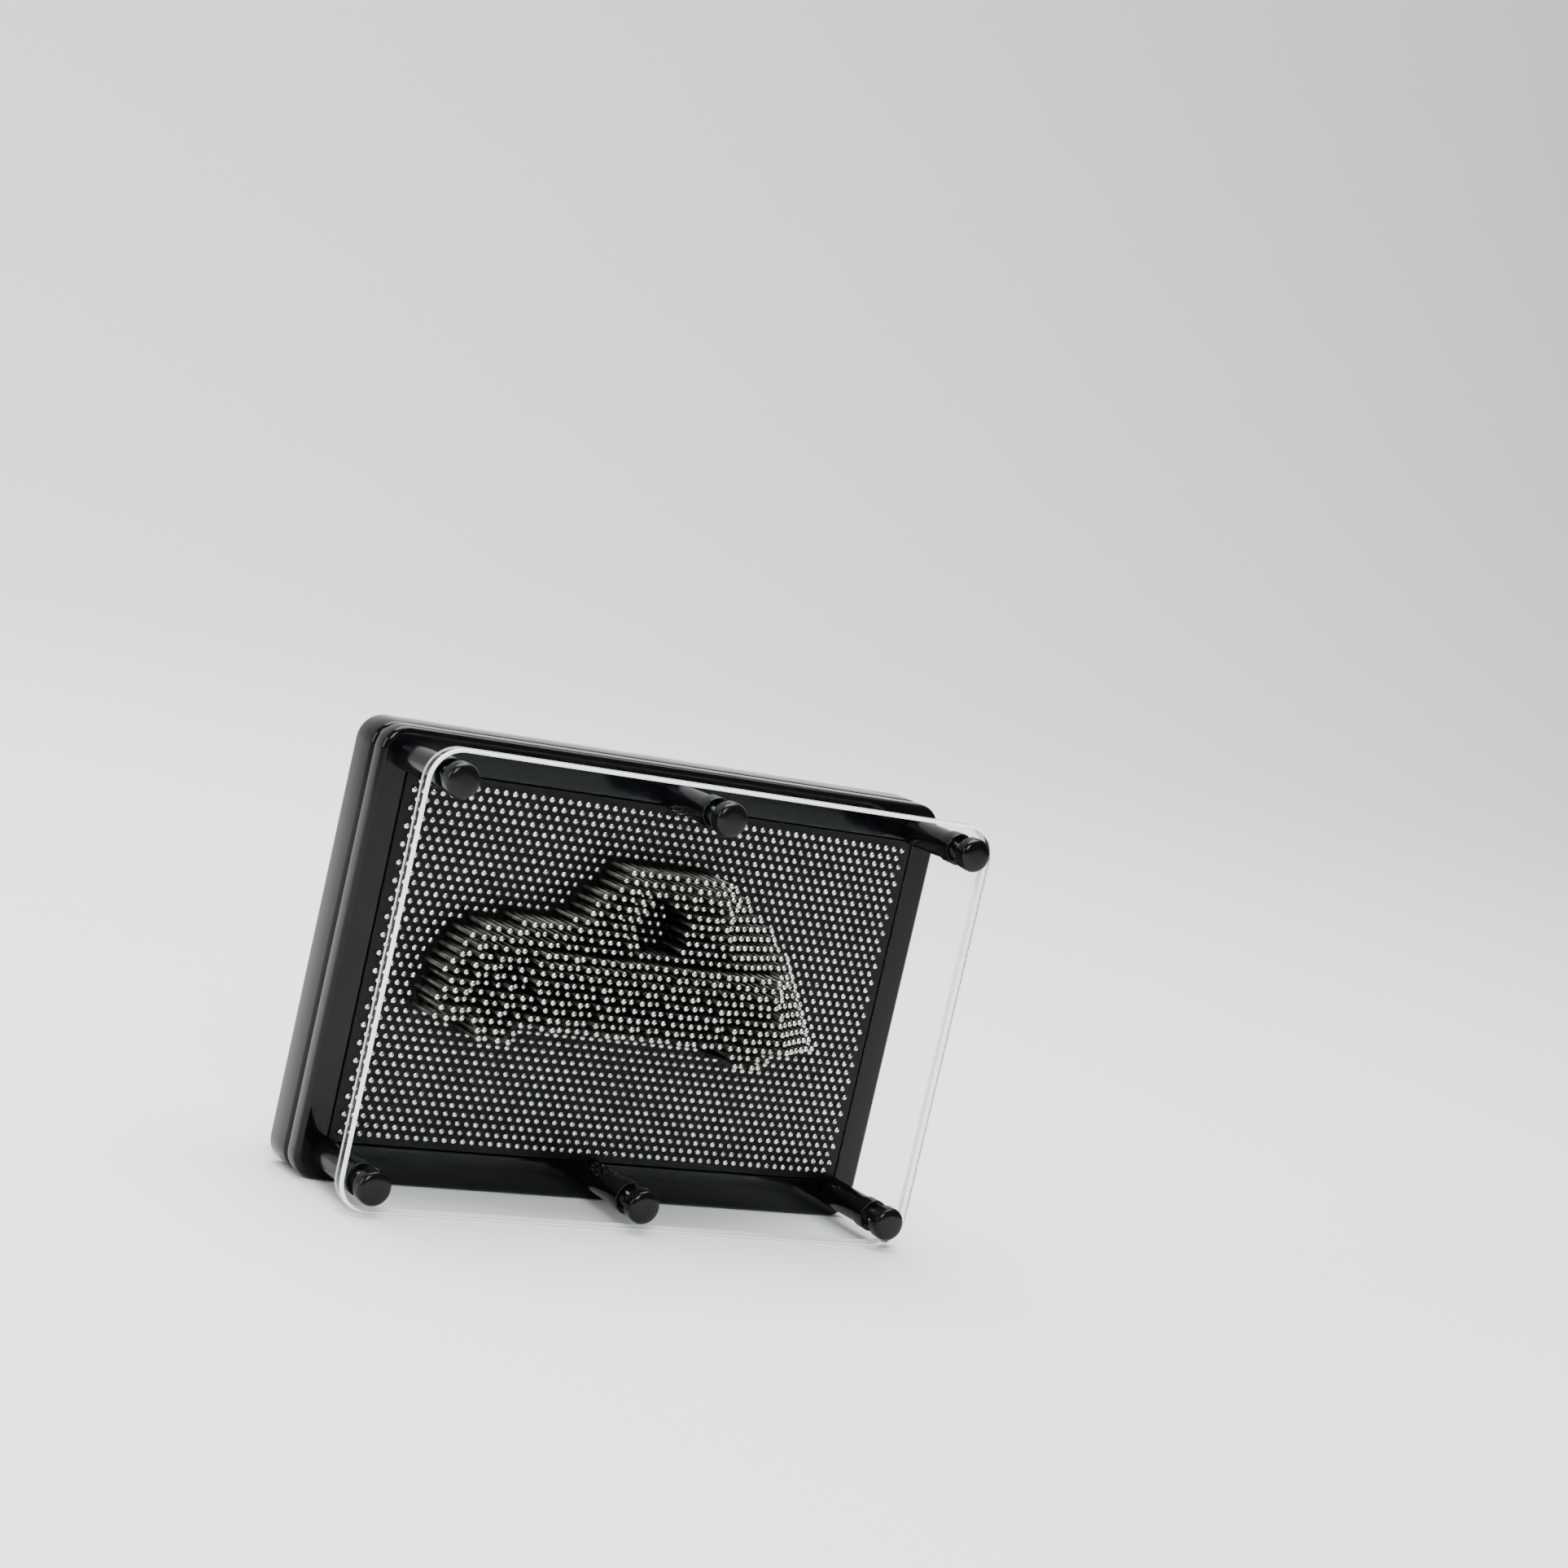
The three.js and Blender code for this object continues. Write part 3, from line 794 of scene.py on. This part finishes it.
def plate_tree():
    """A plate with a round hole at each point. It is drawn flat, given its thickness and stood upright."""
    tree, size = new_tree("perforated_plate", PLATE_SIZES)
    edge = add(
        tree, "GeometryNodeCurvePrimitiveQuadrilateral", links={"Width": size["Width"], "Height": size["Height"]}
    )
    rounded = add(
        tree,
        "GeometryNodeFilletCurve",
        {1: 4},
        {"Curve": edge.outputs["Curve"], "Radius": size["Corner"]},
        mode="POLY",
    )
    ring = add(tree, "GeometryNodeCurvePrimitiveCircle", {"Resolution": 8}, {"Radius": size["Hole"]})
    holes = add(
        tree,
        "GeometryNodeInstanceOnPoints",
        links={"Points": size["Geometry"], "Instance": ring.outputs["Curve"]},
    )
    real = add(tree, "GeometryNodeRealizeInstances", links={"Geometry": holes.outputs["Instances"]})
    lines = add(tree, "GeometryNodeJoinGeometry")
    tree.links.new(rounded.outputs["Curve"], lines.inputs[0])
    tree.links.new(real.outputs["Geometry"], lines.inputs[0])
    face = add(tree, "GeometryNodeFillCurve", links={"Curve": lines.outputs["Geometry"]})
    raised = add(
        tree,
        "GeometryNodeExtrudeMesh",
        {"Individual": False},
        {"Mesh": face.outputs["Mesh"], "Offset Scale": size["Thickness"]},
    )
    under = add(tree, "GeometryNodeFlipFaces", links={"Mesh": face.outputs["Mesh"]})
    shell = add(tree, "GeometryNodeJoinGeometry")
    tree.links.new(raised.outputs["Mesh"], shell.inputs[0])
    tree.links.new(under.outputs["Mesh"], shell.inputs[0])
    sealed = add(
        tree, "GeometryNodeMergeByDistance", {"Distance": 0.001 * MM}, {"Geometry": shell.outputs["Geometry"]}
    )
    back = add(tree, "ShaderNodeCombineXYZ", {"Z": CENTRE}, {"Y": size["Back"]})
    stood = add(
        tree,
        "GeometryNodeTransform",
        {"Rotation": (math.pi / 2, 0, 0)},
        {"Geometry": sealed.outputs["Geometry"], "Translation": back.outputs[0]},
    )
    coloured = add(tree, "GeometryNodeSetMaterial", {"Material": PLATE_ABS}, {"Geometry": stood.outputs["Geometry"]})
    end = tree.nodes.new("NodeGroupOutput")
    tree.links.new(coloured.outputs["Geometry"], end.inputs[0])
    return tree


def build_bed():
    places = pin_places()
    pins = pin_tree()
    for group, points in sorted(places.items()):
        node = f"pins_{group}"
        mesh = grown(f"pin_set_{group}", pins, points, PIN_SIZES)
        place(f"pin_set_{group}", mesh, [], node, [node])
    flat = [(x, z - CENTRE, 0) for points in places.values() for x, _, z in points]
    plates = plate_tree()
    for name, box, node in (
        ("perforated_front_plate", FRONT_PLATE, "front_pin_plate"),
        ("perforated_rear_plate", REAR_PLATE, "rear_pin_plate"),
    ):
        sizes = dict(PLATE_SIZES, Width=box[1].x - box[0].x, Height=box[1].z - box[0].z, Back=box[1].y)
        place(name, grown(name, plates, flat, sizes), [], "frame", [node])


# Camera, floor and lights
CAMERA_TURN = -32.0  # degrees round the toy
CAMERA_RISE = 10.0
CAMERA_ROLL = 12.9
CAMERA_AWAY = 668 * MM
AIM = (20.6 * MM, 44.8 * MM)  # across and up from the bed's centre
LENS = 78.7


def stand_camera():
    turn, rise = math.radians(CAMERA_TURN), math.radians(CAMERA_RISE)
    out = Vector((math.sin(turn) * math.cos(rise), -math.cos(turn) * math.cos(rise), math.sin(rise)))
    spot = Vector((0, 0, CENTRE)) + out * CAMERA_AWAY
    aim = Vector((AIM[0] * math.cos(turn), AIM[0] * math.sin(turn), CENTRE + AIM[1]))
    lens = bpy.data.cameras.new("camera")
    lens.sensor_width = 36
    lens.lens = LENS
    lens.clip_start, lens.clip_end = 0.01, 50
    camera = bpy.data.objects.new("camera", lens)
    bpy.context.scene.collection.objects.link(camera)
    looking = (aim - spot).to_track_quat("-Z", "Y").to_matrix().to_4x4()
    camera.matrix_world = Matrix.Translation(spot) @ looking @ Matrix.Rotation(math.radians(CAMERA_ROLL), 4, "Z")
    bpy.context.scene.camera = camera


def lay_floor():
    """A pale sweep: a floor that curves up into a wall far behind."""
    material, tree = blank("pale_sweep")
    shader = add(tree, "ShaderNodeBsdfPrincipled", {"Base Color": linear("eeeeec"), "Roughness": 0.9})
    add(tree, "ShaderNodeOutputMaterial", links={"Surface": shader.outputs["BSDF"]})
    bm = bmesh.new()
    section = [(-4, 0), (0.9, 0)]
    for degrees in range(10, 91, 10):
        turn = math.radians(degrees)
        section.append((0.9 + 0.6 * math.sin(turn), 0.6 * (1 - math.cos(turn))))
    section.append((1.5, 4))
    left = [bm.verts.new((-5, y, z)) for y, z in section]
    right = [bm.verts.new((5, y, z)) for y, z in section]
    for i in range(len(section) - 1):
        bm.faces.new((left[i], right[i], right[i + 1], left[i + 1])).smooth = True
    mesh = bpy.data.meshes.new("sweep")
    bm.to_mesh(mesh)
    bm.free()
    mesh.materials.append(material)
    sweep = bpy.data.objects.new("sweep", mesh)
    bpy.context.scene.collection.objects.link(sweep)


def hang_light(name, spot, size, power):
    """A square soft light that faces the toy."""
    lamp = bpy.data.lights.new(name, "AREA")
    lamp.size = size
    lamp.energy = power
    light = bpy.data.objects.new(name, lamp)
    bpy.context.scene.collection.objects.link(light)
    light.location = spot
    light.rotation_mode = "QUATERNION"
    light.rotation_quaternion = (Vector((0, 0, CENTRE)) - Vector(spot)).to_track_quat("-Z", "Y")


def light_scene():
    world = bpy.data.worlds.new("studio")
    world.use_nodes = True
    background = world.node_tree.nodes["Background"]
    background.inputs["Color"].default_value = linear("ffffff")
    background.inputs["Strength"].default_value = 0.2
    bpy.context.scene.world = world
    hang_light("key", (-0.45, -0.75, 0.7), 0.45, 11)
    hang_light("top", (0.0, 0.25, 0.9), 0.7, 10)
    hang_light("side", (-0.9, 0.1, 0.35), 0.5, 5)
    hang_light("room", (0.3, 0.3, 2.6), 2.4, 110)


stand_camera()
lay_floor()
light_scene()
build_frame()
build_window()
for number in POSTS:
    build_post(number)
    build_cap(number)
    build_screw(number)
build_bed()
